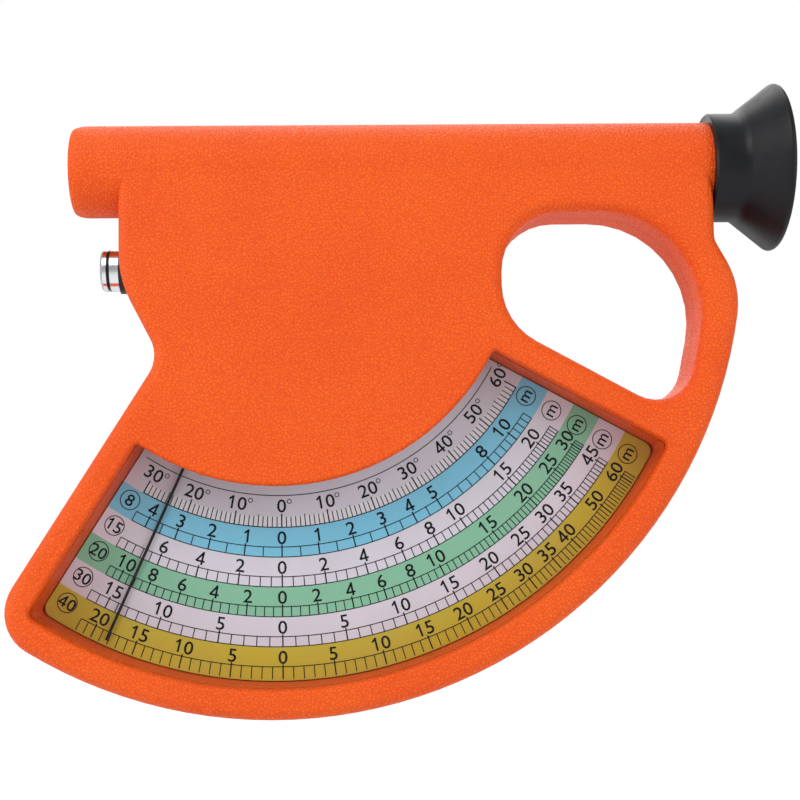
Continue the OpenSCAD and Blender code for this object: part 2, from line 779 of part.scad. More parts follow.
module stop_sleeves() {
  color(black) for (p = stop_places) difference() {
    rod_y(p, stop_sleeve_d, y_stop + stop_cap, y_floor);
    rod_y(p, stop_post_d, y_stop - 1, y_floor + 1);
  }
}

module release_button() {
  x0 = -nose_x - button_out;
  r = button_d / 2;
  bevel = 0.5;
  ring_x = x0 + 1.4;
  ring_in = 0.2;
  side = [[x0, 0], [x0, r - bevel], [x0 + bevel, r], [ring_x, r], [ring_x + 0.15, r - ring_in],
    [ring_x + 0.3, r - ring_in], [ring_x + 0.45, r], [button_in_x, r], [button_in_x, 0]];
  color(steel) translate([0, y_part, button_z]) rotate([0, 90, 0]) difference() {
    rotate_extrude() rotate(90) mirror([0, 1]) polygon(side);
    translate([0, 0, button_in_x - stud_l]) cylinder(d = plunger_d - 1, h = stud_l + 1);
  }
}

module plunger() {
  color(steel) difference() {
    union() {
      rod_x([y_part, button_z], plunger_d, button_in_x, plunger_tip_x - tip_l);
      rod_x([y_part, button_z], plunger_d - 1, button_in_x - stud_l, button_in_x);
      translate([plunger_tip_x - tip_l, y_part, button_z]) rotate([0, 90, 0])
        cylinder(d1 = plunger_d, d2 = tip_d, h = tip_l);
    }
    clip_ring(groove_x, groove_t, plunger_d + 1, plunger_d - 1);
  }
}

// A ring round the plunger's axis from x, t thick
module clip_ring(x, t, d_out, d_in) {
  difference() {
    rod_x([y_part, button_z], d_out, x, x + t);
    rod_x([y_part, button_z], d_in, x - 1, x + t + 1);
  }
}

module plunger_clip() {
  color(steel) clip_ring(groove_x + seat_gap, clip_t, plunger_d + 2.4, plunger_d - 1 + 2 * seat_gap);
}

module button_bush() {
  color(black) difference() {
    rod_x([y_part, button_z], bush_d, -nose_x - bush_out, bush_in_x);
    rod_x([y_part, button_z], button_d + 2 * run_gap, -nose_x - 2, bush_in_x + 1);
  }
}

// A coil spring along X about [y, z], from x0 to x1, wound by a formula
module coil_x(p, x0, x1, d, wire, turns) {
  steps = 12;
  sides = 6;
  r = (d - wire) / 2;
  count = turns * steps;
  rings = [for (i = [0:count]) let(a = 360 * i / steps, x = x0 + wire / 2 + (x1 - x0 - wire) * i / count)
    [for (k = [0:sides - 1]) let(b = 360 * k / sides, q = r + wire / 2 * cos(b))
      [x + wire / 2 * sin(b), p[0] + q * cos(a), p[1] + q * sin(a)]]];
  polyhedron(points = [for (g = rings) each g],
    faces = concat([[for (k = [0:sides - 1]) k]], [[for (k = [sides - 1:-1:0]) count * sides + k]],
      [for (i = [0:count - 1]) for (k = [0:sides - 1]) let(m = (k + 1) % sides)
        each [[i * sides + k, (i + 1) * sides + k, (i + 1) * sides + m],
          [i * sides + k, (i + 1) * sides + m, i * sides + m]]]));
}

module button_spring() {
  x0 = button_in_x + spring_end;
  color(steel) coil_x([y_part, button_z], x0, guide_x - spring_end, plunger_d + 2.4, 0.6, 5);
}

// The bell crank between the plunger and the brake pad
module brake_lever() {
  pad_u = [cos(pad_a), sin(pad_a)];
  seat = (drum_r + rest_gap + pad_t) * pad_u;
  y0 = y_drum - drum_t;
  color(steel) difference() {
    union() {
      rod_y([pin_x, pin_z], pin_d + 2 * lever_boss, y0, y_drum);
      translate([pin_x - lever_w / 2, y0 + lever_in, pin_z])
        cube([lever_w, drum_t - 2 * lever_in, lever_top_z - pin_z]);
      arm_between([pin_x, pin_z], seat + foot_t * 2 / 3 * pad_u, lever_w, y0 + arm_in, y_drum - arm_in);
      translate([seat[0], 0, seat[1]]) rotate([0, -pad_a, 0])
        translate([0, y0, -pad_w / 2]) cube([foot_t, drum_t, pad_w]);
    }
    rod_y([pin_x, pin_z], pin_d + 2 * run_gap, y_front, 0);
  }
}

// A bar of width w between two points in X and Z
module arm_between(p, q, w, y0, y1) {
  d = q - p;
  translate([p[0], y0, p[1]]) rotate([0, -atan2(d[1], d[0]), 0])
    translate([0, 0, -w / 2]) cube([norm(d), y1 - y0, w]);
}

module brake_pad() {
  pad_u = [cos(pad_a), sin(pad_a)];
  color([0.25, 0.16, 0.1]) difference() {
    rotate([0, -pad_a, 0]) translate([drum_r - 0.5, y_drum - drum_t, -pad_w / 2])
      cube([pad_t + rest_gap + 0.5, drum_t, pad_w]);
    rod_y([0, 0], 2 * (drum_r + rest_gap), y_front, 0);
  }
}

module lever_pin() {
  color(steel) difference() {
    rod_y([pin_x, pin_z], pin_d, y_clip - groove_t - pin_end, y_floor - pin_floor);
    difference() {
      rod_y([pin_x, pin_z], pin_d + 2, y_clip - groove_t, y_clip);
      rod_y([pin_x, pin_z], pin_neck_d, y_front, 0);
    }
  }
}

module lever_clip() {
  color(steel) difference() {
    rod_y([pin_x, pin_z], pin_d + 2.4, y_clip - seat_gap - clip_t, y_clip - seat_gap);
    rod_y([pin_x, pin_z], pin_neck_d + 2 * seat_gap, y_front, 0);
  }
}

module brake_spring() {
  x0 = pin_x + lever_w / 2 + spring_end;
  color(steel) coil_x([y_part, brake_spring_z], x0, post_x - post_t / 2 - spring_end, 2.8, 0.4, 5);
}

module body_screws() {
  color(steel) for (p = screw_places) {
    rod_y(p, screw_head_d, y_head, -screw_sink);
    rod_y(p, screw_d, y_head - screw_l, y_head);
  }
}

front_shell();
rear_shell();
window_pane();
dial_plate();
dial_screws();
sight_tube();
reticle_ring();
cross_wires();
peep_disc();
peep_retainer();
eyecup();
pendulum_shaft();
pendulum_hub();
brake_drum();
pendulum_arm();
pendulum_weight();
weight_rivets();
hairline();
front_bearing();
rear_bearing();
stop_sleeves();
release_button();
plunger();
plunger_clip();
button_bush();
button_spring();
brake_lever();
brake_pad();
lever_pin();
lever_clip();
brake_spring();
body_screws();
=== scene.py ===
import math

import bmesh
import bpy
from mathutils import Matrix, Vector


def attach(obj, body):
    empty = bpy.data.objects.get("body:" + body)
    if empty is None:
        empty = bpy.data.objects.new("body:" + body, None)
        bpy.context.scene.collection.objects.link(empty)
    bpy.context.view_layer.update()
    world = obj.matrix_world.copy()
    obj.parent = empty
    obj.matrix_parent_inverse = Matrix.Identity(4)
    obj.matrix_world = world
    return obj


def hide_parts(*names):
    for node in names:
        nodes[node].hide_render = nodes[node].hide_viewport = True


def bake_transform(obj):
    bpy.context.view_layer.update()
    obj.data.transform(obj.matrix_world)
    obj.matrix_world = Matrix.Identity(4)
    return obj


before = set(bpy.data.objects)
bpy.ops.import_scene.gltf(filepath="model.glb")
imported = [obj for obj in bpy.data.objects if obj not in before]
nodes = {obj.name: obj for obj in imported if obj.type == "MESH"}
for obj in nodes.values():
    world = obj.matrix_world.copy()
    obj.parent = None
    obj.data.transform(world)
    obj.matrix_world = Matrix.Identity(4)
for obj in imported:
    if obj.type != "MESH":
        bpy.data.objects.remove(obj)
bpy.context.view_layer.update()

mm = 0.001


def linear(red, green, blue):     # a colour picked on screen, 0 to 255, as Blender wants it
    values = []
    for value in (red, green, blue):
        value = value / 255
        values.append(value / 12.92 if value <= 0.04045 else ((value + 0.055) / 1.055) ** 2.4)
    return (*values, 1)


def deselectAll():
    if bpy.context.mode != "OBJECT":
        bpy.ops.object.mode_set(mode="OBJECT")
    bpy.ops.object.select_all(action="DESELECT")


def pickOnly(piece):
    deselectAll()
    piece.select_set(True)
    bpy.context.view_layer.objects.active = piece


def applyModifiers(piece):
    pickOnly(piece)
    for modifier in list(piece.modifiers):
        bpy.ops.object.modifier_apply(modifier=modifier.name)


def bakePlace(piece):             # place goes into the mesh, the object ends at the origin
    pickOnly(piece)
    bpy.ops.object.transform_apply(location=True, rotation=True, scale=True)


def joinPieces(pieces, label):
    deselectAll()
    for piece in pieces:
        piece.select_set(True)
    bpy.context.view_layer.objects.active = pieces[0]
    if len(pieces) > 1:
        bpy.ops.object.join()
    joined = bpy.context.object
    joined.name = joined.data.name = label
    return joined


def smoothShade(piece, degrees, even=True):
    pickOnly(piece)
    bpy.ops.object.shade_smooth_by_angle(angle=math.radians(degrees))
    if even:                      # flat faces stay flat next to rounded edges
        weighted = piece.modifiers.new("evenShade", "WEIGHTED_NORMAL")
        weighted.keep_sharp = True
        applyModifiers(piece)


def copyNode(nodeName, label, degrees=35):
    mesh = nodes[nodeName].data.copy()
    mesh.materials.clear()
    piece = bpy.data.objects.new(label, mesh)
    bpy.context.scene.collection.objects.link(piece)
    pickOnly(piece)
    bpy.ops.mesh.customdata_custom_splitnormals_clear()
    bpy.ops.object.mode_set(mode="EDIT")
    bpy.ops.mesh.select_all(action="SELECT")
    bpy.ops.mesh.remove_doubles(threshold=0.002 * mm)
    bpy.ops.mesh.select_all(action="DESELECT")
    bpy.ops.object.mode_set(mode="OBJECT")
    smoothShade(piece, degrees)
    return piece


def settle(piece, body, slot, material, *replaced):
    piece.data.materials.clear()
    piece.data.materials.append(material)
    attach(piece, body)
    if replaced:
        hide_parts(*replaced)


def onDial(radius, degrees, depth):     # a place on the dial, counted from the pendulum's axis
    turn = math.radians(degrees)
    return Vector((radius * math.sin(turn), depth, -radius * math.cos(turn)))


# shader groups

def addNode(tree, kind, **settings):
    made = tree.nodes.new(kind)
    for key, value in settings.items():
        setattr(made, key, value)
    return made


def calc(tree, operation, first, second=None, third=None, clamp=False):
    made = addNode(tree, "ShaderNodeMath", operation=operation, use_clamp=clamp)
    for slotNumber, value in enumerate((first, second, third)):
        if value is None:
            continue
        if isinstance(value, (int, float)):
            made.inputs[slotNumber].default_value = value
        else:
            tree.links.new(value, made.inputs[slotNumber])
    return made.outputs[0]


def startGroup(label, inputs, outputs):
    tree = bpy.data.node_groups.new(label, "ShaderNodeTree")
    for name, value in inputs:
        socket = tree.interface.new_socket(name=name, in_out="INPUT", socket_type="NodeSocketFloat")
        socket.default_value = value
    for name in outputs:
        tree.interface.new_socket(name=name, in_out="OUTPUT", socket_type="NodeSocketFloat")
    return tree, addNode(tree, "NodeGroupInput"), addNode(tree, "NodeGroupOutput")


def objectMillimetres(tree, divide=None):
    place = addNode(tree, "ShaderNodeTexCoord").outputs["Object"]
    scaled = addNode(tree, "ShaderNodeVectorMath", operation="SCALE")
    scaled.inputs["Scale"].default_value = 1000
    tree.links.new(place, scaled.inputs[0])
    if divide is None:
        return scaled.outputs[0]
    smaller = addNode(tree, "ShaderNodeVectorMath", operation="SCALE")
    tree.links.new(scaled.outputs[0], smaller.inputs[0])
    tree.links.new(calc(tree, "DIVIDE", 1.0, divide), smaller.inputs["Scale"])
    return smaller.outputs[0]


def buildPebbleGrain():           # leather-like cells of a spark-eroded mould
    tree, given, result = startGroup("pebbleGrain", [("Cell", 1.0), ("Ripple", 0.4), ("Patch", 9.0)],
                                     ["Height", "Border", "Cloud"])
    place = objectMillimetres(tree, given.outputs["Cell"])
    ripple = addNode(tree, "ShaderNodeTexNoise")
    ripple.inputs["Scale"].default_value = 0.9
    ripple.inputs["Detail"].default_value = 2
    tree.links.new(place, ripple.inputs["Vector"])
    centred = addNode(tree, "ShaderNodeVectorMath", operation="SUBTRACT")
    centred.inputs[1].default_value = (0.5, 0.5, 0.5)
    tree.links.new(ripple.outputs["Color"], centred.inputs[0])
    pushed = addNode(tree, "ShaderNodeVectorMath", operation="SCALE")
    tree.links.new(centred.outputs[0], pushed.inputs[0])
    tree.links.new(given.outputs["Ripple"], pushed.inputs["Scale"])
    moved = addNode(tree, "ShaderNodeVectorMath", operation="ADD")
    tree.links.new(place, moved.inputs[0])
    tree.links.new(pushed.outputs[0], moved.inputs[1])
    cells = addNode(tree, "ShaderNodeTexVoronoi", feature="SMOOTH_F1")
    cells.inputs["Scale"].default_value = 1
    cells.inputs["Smoothness"].default_value = 0.35
    edges = addNode(tree, "ShaderNodeTexVoronoi", feature="DISTANCE_TO_EDGE")
    edges.inputs["Scale"].default_value = 1
    for texture in (cells, edges):
        tree.links.new(moved.outputs[0], texture.inputs["Vector"])
    border = addNode(tree, "ShaderNodeMapRange", interpolation_type="SMOOTHSTEP")
    border.inputs["From Min"].default_value = 0.02
    border.inputs["From Max"].default_value = 0.2
    border.inputs["To Min"].default_value = 1
    border.inputs["To Max"].default_value = 0
    tree.links.new(edges.outputs["Distance"], border.inputs["Value"])
    dome = calc(tree, "SUBTRACT", 1.0, cells.outputs["Distance"])
    groove = calc(tree, "MULTIPLY", border.outputs[0], 0.45)     # share of a pebble's height
    tree.links.new(calc(tree, "SUBTRACT", dome, groove), result.inputs["Height"])
    tree.links.new(border.outputs[0], result.inputs["Border"])
    cloud = addNode(tree, "ShaderNodeTexNoise")
    cloud.inputs["Scale"].default_value = 1
    cloud.inputs["Detail"].default_value = 3
    tree.links.new(objectMillimetres(tree, given.outputs["Patch"]), cloud.inputs["Vector"])
    tree.links.new(cloud.outputs["Fac"], result.inputs["Cloud"])
    return tree


def buildFineGrain():             # small even grain, with specks and broad clouds
    tree, given, result = startGroup("fineGrain", [("Size", 0.3), ("Patch", 6.0)],
                                     ["Height", "Speck", "Cloud"])
    near = addNode(tree, "ShaderNodeTexNoise")
    near.inputs["Scale"].default_value = 1
    near.inputs["Detail"].default_value = 4
    near.inputs["Roughness"].default_value = 0.65
    tree.links.new(objectMillimetres(tree, given.outputs["Size"]), near.inputs["Vector"])
    speck = addNode(tree, "ShaderNodeMapRange", interpolation_type="SMOOTHSTEP")
    speck.inputs["From Min"].default_value = 0.62
    speck.inputs["From Max"].default_value = 0.74
    tree.links.new(near.outputs["Fac"], speck.inputs["Value"])
    cloud = addNode(tree, "ShaderNodeTexNoise")
    cloud.inputs["Scale"].default_value = 1
    cloud.inputs["Detail"].default_value = 2
    tree.links.new(objectMillimetres(tree, given.outputs["Patch"]), cloud.inputs["Vector"])
    tree.links.new(near.outputs["Fac"], result.inputs["Height"])
    tree.links.new(speck.outputs[0], result.inputs["Speck"])
    tree.links.new(cloud.outputs["Fac"], result.inputs["Cloud"])
    return tree


def buildToolLines():             # fine lines that turning or rolling leaves, short across and long along
    tree, given, result = startGroup("toolLines", [("Along X", 8.0), ("Along Y", 8.0), ("Along Z", 0.15)],
                                     ["Height", "Streak"])
    divided = addNode(tree, "ShaderNodeVectorMath", operation="DIVIDE")
    sizes = addNode(tree, "ShaderNodeCombineXYZ")
    for axis in "XYZ":
        tree.links.new(given.outputs["Along " + axis], sizes.inputs[axis])
    tree.links.new(objectMillimetres(tree), divided.inputs[0])
    tree.links.new(sizes.outputs[0], divided.inputs[1])
    lines = addNode(tree, "ShaderNodeTexNoise")
    lines.inputs["Scale"].default_value = 1
    lines.inputs["Detail"].default_value = 3
    lines.inputs["Roughness"].default_value = 0.6
    tree.links.new(divided.outputs[0], lines.inputs["Vector"])
    streak = addNode(tree, "ShaderNodeMapRange", interpolation_type="SMOOTHSTEP")
    streak.inputs["From Min"].default_value = 0.4
    streak.inputs["From Max"].default_value = 0.7
    tree.links.new(lines.outputs["Fac"], streak.inputs["Value"])
    tree.links.new(lines.outputs["Fac"], result.inputs["Height"])
    tree.links.new(streak.outputs[0], result.inputs["Streak"])
    return tree


def buildRingLine():              # a thin line round a piece, such as where two mouldings meet
    tree, given, result = startGroup("ringLine", [("Place", 0.0), ("At", -10.5), ("Half Width", 0.12),
                                                  ("Edge", 1.0)], ["Mask"])
    away = calc(tree, "ABSOLUTE", calc(tree, "SUBTRACT", given.outputs["Place"], given.outputs["At"]))
    left = calc(tree, "SUBTRACT", 1.0, calc(tree, "DIVIDE", away, given.outputs["Half Width"]))
    tree.links.new(calc(tree, "MULTIPLY", left, given.outputs["Edge"], clamp=True), result.inputs["Mask"])
    return tree


groups = {
    "pebble": buildPebbleGrain(),
    "fine": buildFineGrain(),
    "lines": buildToolLines(),
    "ring": buildRingLine(),
}
print("shader groups built:", ", ".join(groups))


def startMaterial(label):
    material = bpy.data.materials.new(label)
    material.use_nodes = True
    tree = material.node_tree
    return material, tree, tree.nodes["Principled BSDF"]


def placeGroup(tree, name, **values):
    made = addNode(tree, "ShaderNodeGroup", node_tree=groups[name])
    for key, value in values.items():
        made.inputs[key.replace("_", " ")].default_value = value
    return made


def placeRingLine(tree, axis, at, halfWidth, edge):
    made = placeGroup(tree, "ring", At=at, Half_Width=halfWidth, Edge=edge)
    parts = addNode(tree, "ShaderNodeSeparateXYZ")
    tree.links.new(objectMillimetres(tree), parts.inputs[0])
    tree.links.new(parts.outputs[axis], made.inputs["Place"])
    return made.outputs["Mask"]


def mixColours(tree, share, first, second):
    made = addNode(tree, "ShaderNodeMix", data_type="RGBA")
    tree.links.new(share, made.inputs[0])
    for slotNumber, value in ((6, first), (7, second)):     # the node's colour sockets
        if isinstance(value, tuple):
            made.inputs[slotNumber].default_value = value
        else:
            tree.links.new(value, made.inputs[slotNumber])
    return made.outputs[2]


def spread(tree, value, low, high, fromLow=0.3, fromHigh=0.7):
    made = addNode(tree, "ShaderNodeMapRange")
    made.inputs["From Min"].default_value = fromLow
    made.inputs["From Max"].default_value = fromHigh
    made.inputs["To Min"].default_value = low
    made.inputs["To Max"].default_value = high
    tree.links.new(value, made.inputs["Value"])
    return made.outputs[0]


def bump(tree, shader, height, strength, deep):
    made = addNode(tree, "ShaderNodeBump")
    made.inputs["Strength"].default_value = strength
    made.inputs["Distance"].default_value = deep * mm
    tree.links.new(height, made.inputs["Height"])
    tree.links.new(made.outputs[0], shader.inputs["Normal"])
    return made


# finishes

orangeLook = {
    "colour": linear(242, 97, 18),
    "patch": linear(237, 90, 15),       # broad, faint change of tone
    "patchSize": 24.0,                  # mm
    "patchFrom": (0.35, 0.65),          # the part of the noise that is spread out
    "paintedCreaseShade": linear(203, 52, 6),       # painted shade in the lines between the pebbles
    "paintedCreaseShadeShare": 0.5,
    "seam": linear(120, 28, 8),         # where the two halves meet
    "seamShare": 0.85,
    "seamAt": -10.5,                    # Y, mm
    "seamHalf": 0.16,                   # half its width, mm
    "seamDeep": 1.2,                    # in heights of a pebble
    "cell": 0.76,                       # pebbles, mm
    "ripple": 1.1,
    "depth": 0.13,                      # height of a pebble, mm
    "strength": 1.0,
    "roughness": (0.4, 0.54),
    "roughFrom": (0.9, 0.2),            # heights of the smoothest and the roughest place
    "shine": 0.24,
}


def makeOrange():
    look = orangeLook
    material, tree, shader = startMaterial("orangeMoulding")
    grain = placeGroup(tree, "pebble", Cell=look["cell"], Ripple=look["ripple"], Patch=look["patchSize"])
    seam = placeRingLine(tree, "Y", look["seamAt"], look["seamHalf"], 1.0)
    cloud = spread(tree, grain.outputs["Cloud"], 0, 1, *look["patchFrom"])
    broad = mixColours(tree, cloud, look["patch"], look["colour"])
    # painted shade: the lines between the pebbles are coloured darker than the pebbles
    border = calc(tree, "MULTIPLY", grain.outputs["Border"], look["paintedCreaseShadeShare"])
    creaseShaded = mixColours(tree, border, broad, look["paintedCreaseShade"])
    line = calc(tree, "MULTIPLY", seam, look["seamShare"])
    tree.links.new(mixColours(tree, line, creaseShaded, look["seam"]), shader.inputs["Base Color"])
    smooth, rough = look["roughness"]
    high, low = look["roughFrom"]
    matt = spread(tree, grain.outputs["Height"], rough, smooth, low, high)
    tree.links.new(matt, shader.inputs["Roughness"])
    height = calc(tree, "SUBTRACT", grain.outputs["Height"], calc(tree, "MULTIPLY", seam, look["seamDeep"]))
    bump(tree, shader, height, look["strength"], look["depth"])
    shader.inputs["Specular IOR Level"].default_value = look["shine"]
    return material


metalLooks = {
    "steel": {"colour": linear(186, 188, 192), "dark": linear(150, 152, 158), "roughness": (0.26, 0.42),
              "lines": (6, 6, 0.2)},
    "brass": {"colour": linear(205, 168, 92), "dark": linear(172, 134, 66), "roughness": (0.24, 0.4),
              "lines": (0.25, 6, 0.25)},
    "aluminium": {"colour": linear(200, 202, 206), "dark": linear(172, 175, 180), "roughness": (0.3, 0.48),
                  "lines": (9, 9, 0.18)},
    "chrome": {"colour": linear(222, 224, 228), "dark": linear(206, 209, 214), "roughness": (0.12, 0.2),
               "lines": (0.2, 5, 5)},
}
metalGrain = {"size": 0.5, "patch": 5.0, "bump": 0.12, "deep": 0.02}    # mm
paintedGrooveShade = {                            # painted shade: a dark band round the chrome button, standing in for the shade of its groove
    "at": -39.25,                       # X, mm
    "half": 0.34,                       # half its width, mm
    "edge": 6.0,                        # how sharp its borders are
    "colour": linear(44, 44, 46),
    "roughness": 0.4,
}


def placeToolLines(tree, sizes):        # length of a line along X, Y and Z, mm
    alongX, alongY, alongZ = sizes
    return placeGroup(tree, "lines", Along_X=alongX, Along_Y=alongY, Along_Z=alongZ)


def makeMetal(name):
    look = metalLooks[name]
    material, tree, shader = startMaterial(name + "Metal")
    smooth, dull = look["roughness"]
    lines = placeToolLines(tree, look["lines"])
    fine = placeGroup(tree, "fine", Size=metalGrain["size"], Patch=metalGrain["patch"])
    tone = mixColours(tree, spread(tree, fine.outputs["Cloud"], 0, 1), look["dark"], look["colour"])
    rough = spread(tree, lines.outputs["Streak"], smooth, dull, 0, 1)
    if name == "chrome":
        # the chrome gets a painted shade band round the button, where its groove looks dark
        ring = placeRingLine(tree, "X", paintedGrooveShade["at"], paintedGrooveShade["half"], paintedGrooveShade["edge"])
        tone = mixColours(tree, ring, tone, paintedGrooveShade["colour"])
        rough = calc(tree, "MAXIMUM", rough, calc(tree, "MULTIPLY", ring, paintedGrooveShade["roughness"]))
    tree.links.new(tone, shader.inputs["Base Color"])
    tree.links.new(rough, shader.inputs["Roughness"])
    shader.inputs["Metallic"].default_value = 1
    bump(tree, shader, lines.outputs["Height"], metalGrain["bump"], metalGrain["deep"])
    return material


darkLooks = {
    "rubber": {"colour": linear(11, 12, 16), "light": linear(22, 24, 30), "roughness": (0.34, 0.46),
               "size": 0.35, "bump": 0.2, "deep": 0.03},
    "anodised": {"colour": linear(18, 18, 21), "light": linear(30, 30, 34), "roughness": (0.38, 0.52),
                 "size": 0.2, "bump": 0.2, "deep": 0.02},
    "paint": {"colour": linear(20, 20, 24), "light": linear(30, 30, 34), "roughness": (0.42, 0.55),
              "size": 0.25, "bump": 0.15, "deep": 0.01},
    "nylon": {"colour": linear(34, 34, 37), "light": linear(48, 48, 52), "roughness": (0.4, 0.55),
              "size": 0.4, "bump": 0.2, "deep": 0.03},
    "lining": {"colour": linear(92, 62, 40), "light": linear(132, 96, 64), "roughness": (0.7, 0.9),
               "size": 0.22, "bump": 0.7, "deep": 0.08},
}
darkGrain = {
    "patch": 7.0,                       # mm
    "cloud": 0.6,                       # share of the light tone in broad patches
    "speck": 0.35,                      # and in the small specks
    "shine": 0.22,
}


def makeDark(name):
    look = darkLooks[name]
    material, tree, shader = startMaterial(name + "Finish")
    fine = placeGroup(tree, "fine", Size=look["size"], Patch=darkGrain["patch"])
    cloud = spread(tree, fine.outputs["Cloud"], 0, darkGrain["cloud"])
    base = mixColours(tree, cloud, look["colour"], look["light"])
    speck = calc(tree, "MULTIPLY", fine.outputs["Speck"], darkGrain["speck"])
    tree.links.new(mixColours(tree, speck, base, look["light"]), shader.inputs["Base Color"])
    tree.links.new(spread(tree, fine.outputs["Cloud"], *look["roughness"]), shader.inputs["Roughness"])
    bump(tree, shader, fine.outputs["Height"], look["bump"], look["deep"])
    shader.inputs["Specular IOR Level"].default_value = darkGrain["shine"]
    return material


dialLook = {
    "inner": 50.0, "outer": 101.0,      # mm, ends of the coloured part
    "bands": [(50.0, linear(218, 212, 225)), (65.0, linear(127, 204, 235)), (72.0, linear(222, 218, 231)),
              (79.0, linear(136, 197, 165)), (86.0, linear(220, 215, 228)), (93.0, linear(200, 182, 50))],
    "ticks": (62.5, 65.0),              # mm, the paler ring behind the degree ticks
    "turns": (-30, 60),                 # degrees, where it begins and ends
    "tickWhite": linear(232, 230, 238),
    "cloud": (0.3, 0.3, 0.34, 1),
    "cloudShare": 0.09,
    "size": 0.25, "patch": 16.0,        # mm
    "lines": (14.0, 1.0, 0.12),
    "bump": 0.05, "deep": 0.01,
    "roughness": (0.3, 0.44),
    "shine": 0.25,
}


def between(tree, value, low, high):
    above = calc(tree, "GREATER_THAN", value, low)
    return calc(tree, "MULTIPLY", above, calc(tree, "LESS_THAN", value, high))


def makeDialPrint():
    look = dialLook
    material, tree, shader = startMaterial("printedDial")
    parts = addNode(tree, "ShaderNodeSeparateXYZ")
    tree.links.new(objectMillimetres(tree), parts.inputs[0])
    across, down = parts.outputs["X"], parts.outputs["Z"]
    radius = calc(tree, "SQRT", calc(tree, "ADD", calc(tree, "MULTIPLY", across, across),
                                     calc(tree, "MULTIPLY", down, down)))
    ramp = addNode(tree, "ShaderNodeValToRGB")
    ramp.color_ramp.interpolation = "CONSTANT"
    stops = ramp.color_ramp.elements
    span = look["outer"] - look["inner"]
    stops[0].position, stops[0].color = 0, look["bands"][0][1]
    stops[1].position, stops[1].color = (look["bands"][1][0] - look["inner"]) / span, look["bands"][1][1]
    for start, colour in look["bands"][2:]:
        stops.new((start - look["inner"]) / span).color = colour
    tree.links.new(spread(tree, radius, 0, 1, look["inner"], look["outer"]), ramp.inputs["Fac"])
    turn = calc(tree, "ARCTAN2", across, calc(tree, "MULTIPLY", down, -1.0))
    inTicks = between(tree, radius, *look["ticks"])
    inTurn = between(tree, turn, *(math.radians(degrees) for degrees in look["turns"]))
    printed = mixColours(tree, calc(tree, "MULTIPLY", inTicks, inTurn), ramp.outputs["Color"],
                         look["tickWhite"])
    fine = placeGroup(tree, "fine", Size=look["size"], Patch=look["patch"])
    lines = placeToolLines(tree, look["lines"])
    cloud = spread(tree, fine.outputs["Cloud"], 0, look["cloudShare"])
    tree.links.new(mixColours(tree, cloud, printed, look["cloud"]), shader.inputs["Base Color"])
    shader.inputs["Specular IOR Level"].default_value = look["shine"]
    smooth, dull = look["roughness"]
    tree.links.new(spread(tree, lines.outputs["Streak"], smooth, dull, 0, 1), shader.inputs["Roughness"])
    bump(tree, shader, lines.outputs["Height"], look["bump"], look["deep"])
    return material


inkLook = {
    "colour": linear(12, 13, 19),
    "light": linear(26, 28, 36),
    "size": 0.12, "patch": 3.0,         # mm
    "roughness": (0.4, 0.55),
    "shine": 0.08,
}


def makeInk():
    look = inkLook
    material, tree, shader = startMaterial("dialInk")
    fine = placeGroup(tree, "fine", Size=look["size"], Patch=look["patch"])
    tone = spread(tree, fine.outputs["Height"], 0, 1)
    tree.links.new(mixColours(tree, tone, look["colour"], look["light"]), shader.inputs["Base Color"])
    tree.links.new(spread(tree, fine.outputs["Cloud"], *look["roughness"]), shader.inputs["Roughness"])
    shader.inputs["Specular IOR Level"].default_value = look["shine"]
    return material


paneLook = {
    "colour": (0.97, 0.985, 0.98, 1),
    "shade": (0.95, 0.96, 0.955, 1),    # what it takes from light that passes straight through
    "bend": 1.2,                        # low, so that the pane mirrors little
    "shine": 0.05,
    "size": 3.0, "patch": 22.0,         # mm
    "smudge": 0.003,                    # the greatest roughness
    "smudgeFrom": (0.45, 0.75),         # the part of the noise that shows as smudges
}


def makeClearPane():
    look = paneLook
    material, tree, shader = startMaterial("clearPane")
    shader.inputs["Base Color"].default_value = look["colour"]
    shader.inputs["Transmission Weight"].default_value = 1
    shader.inputs["IOR"].default_value = look["bend"]
    shader.inputs["Specular IOR Level"].default_value = look["shine"]
    fine = placeGroup(tree, "fine", Size=look["size"], Patch=look["patch"])
    smudge = spread(tree, fine.outputs["Cloud"], 0.0, look["smudge"], *look["smudgeFrom"])
    tree.links.new(smudge, shader.inputs["Roughness"])
    clear = addNode(tree, "ShaderNodeBsdfTransparent")
    clear.inputs["Color"].default_value = look["shade"]
    rays = addNode(tree, "ShaderNodeLightPath")
    mix = addNode(tree, "ShaderNodeMixShader")
    soft = calc(tree, "MAXIMUM", rays.outputs["Is Shadow Ray"], rays.outputs["Is Diffuse Ray"])
    mirrored = calc(tree, "SUBTRACT", rays.outputs["Is Glossy Ray"], rays.outputs["Is Transmission Ray"],
                    clamp=True)
    tree.links.new(calc(tree, "MAXIMUM", soft, mirrored), mix.inputs[0])
    tree.links.new(shader.outputs[0], mix.inputs[1])
    tree.links.new(clear.outputs[0], mix.inputs[2])
    tree.links.new(mix.outputs[0], tree.nodes["Material Output"].inputs["Surface"])
    return material


finishes = {"orange": makeOrange(), "dial": makeDialPrint(), "ink": makeInk(), "pane": makeClearPane()}
finishes.update({name: makeMetal(name) for name in metalLooks})
finishes.update({name: makeDark(name) for name in darkLooks})
print("finishes built:", len(finishes))


# camera, light and floor

